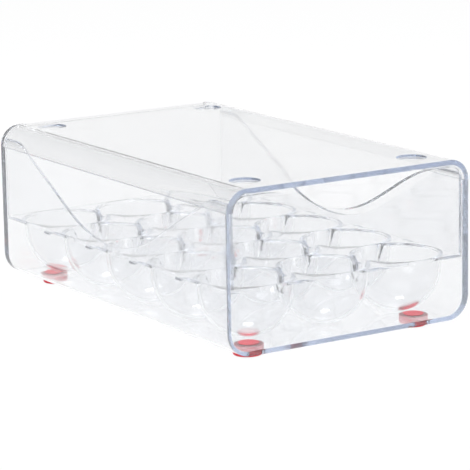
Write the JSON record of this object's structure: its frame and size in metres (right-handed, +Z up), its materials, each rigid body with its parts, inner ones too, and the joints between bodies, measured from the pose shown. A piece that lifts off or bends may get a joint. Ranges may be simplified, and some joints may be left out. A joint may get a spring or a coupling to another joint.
{
  "type": "egg keeper with flip lid",
  "caption": "Clear plastic egg keeper: a long rounded bin with a finger dip, a flip lid hinged at the back, a lift-out tray of round egg cups and red rubber feet.",
  "frame": {"origin": "on the surface that the feet stand on, under the middle of the bin", "axes": "+Z up, the finger dip and the lid's free edge face -Y, the hinge is at the +Y end, +X is to the right seen from the front"},
  "size_m": [0.156, 0.249, 0.0938],
  "materials": {
    "clear_body": "clear, polished",
    "clear_lid": "clear, polished",
    "clear_tray": "clear, polished",
    "red_rubber": "satin, slightly translucent"
  },
  "bodies": {
    "bin": {"bin_body": "clear_body", "egg_tray": "clear_tray", "foot_front_left": "red_rubber", "foot_front_right": "red_rubber", "foot_back_left": "red_rubber", "foot_back_right": "red_rubber"},
    "lid": {"flip_lid": "clear_lid"}
  },
  "joints": [
    {"name": "lid_hinge", "type": "hinge", "parent": "bin", "child": "lid", "pos_m": [0, 0.123, 0.0924], "axis": [-1, 0, 0], "range_deg": [0, 105]}
  ]
}
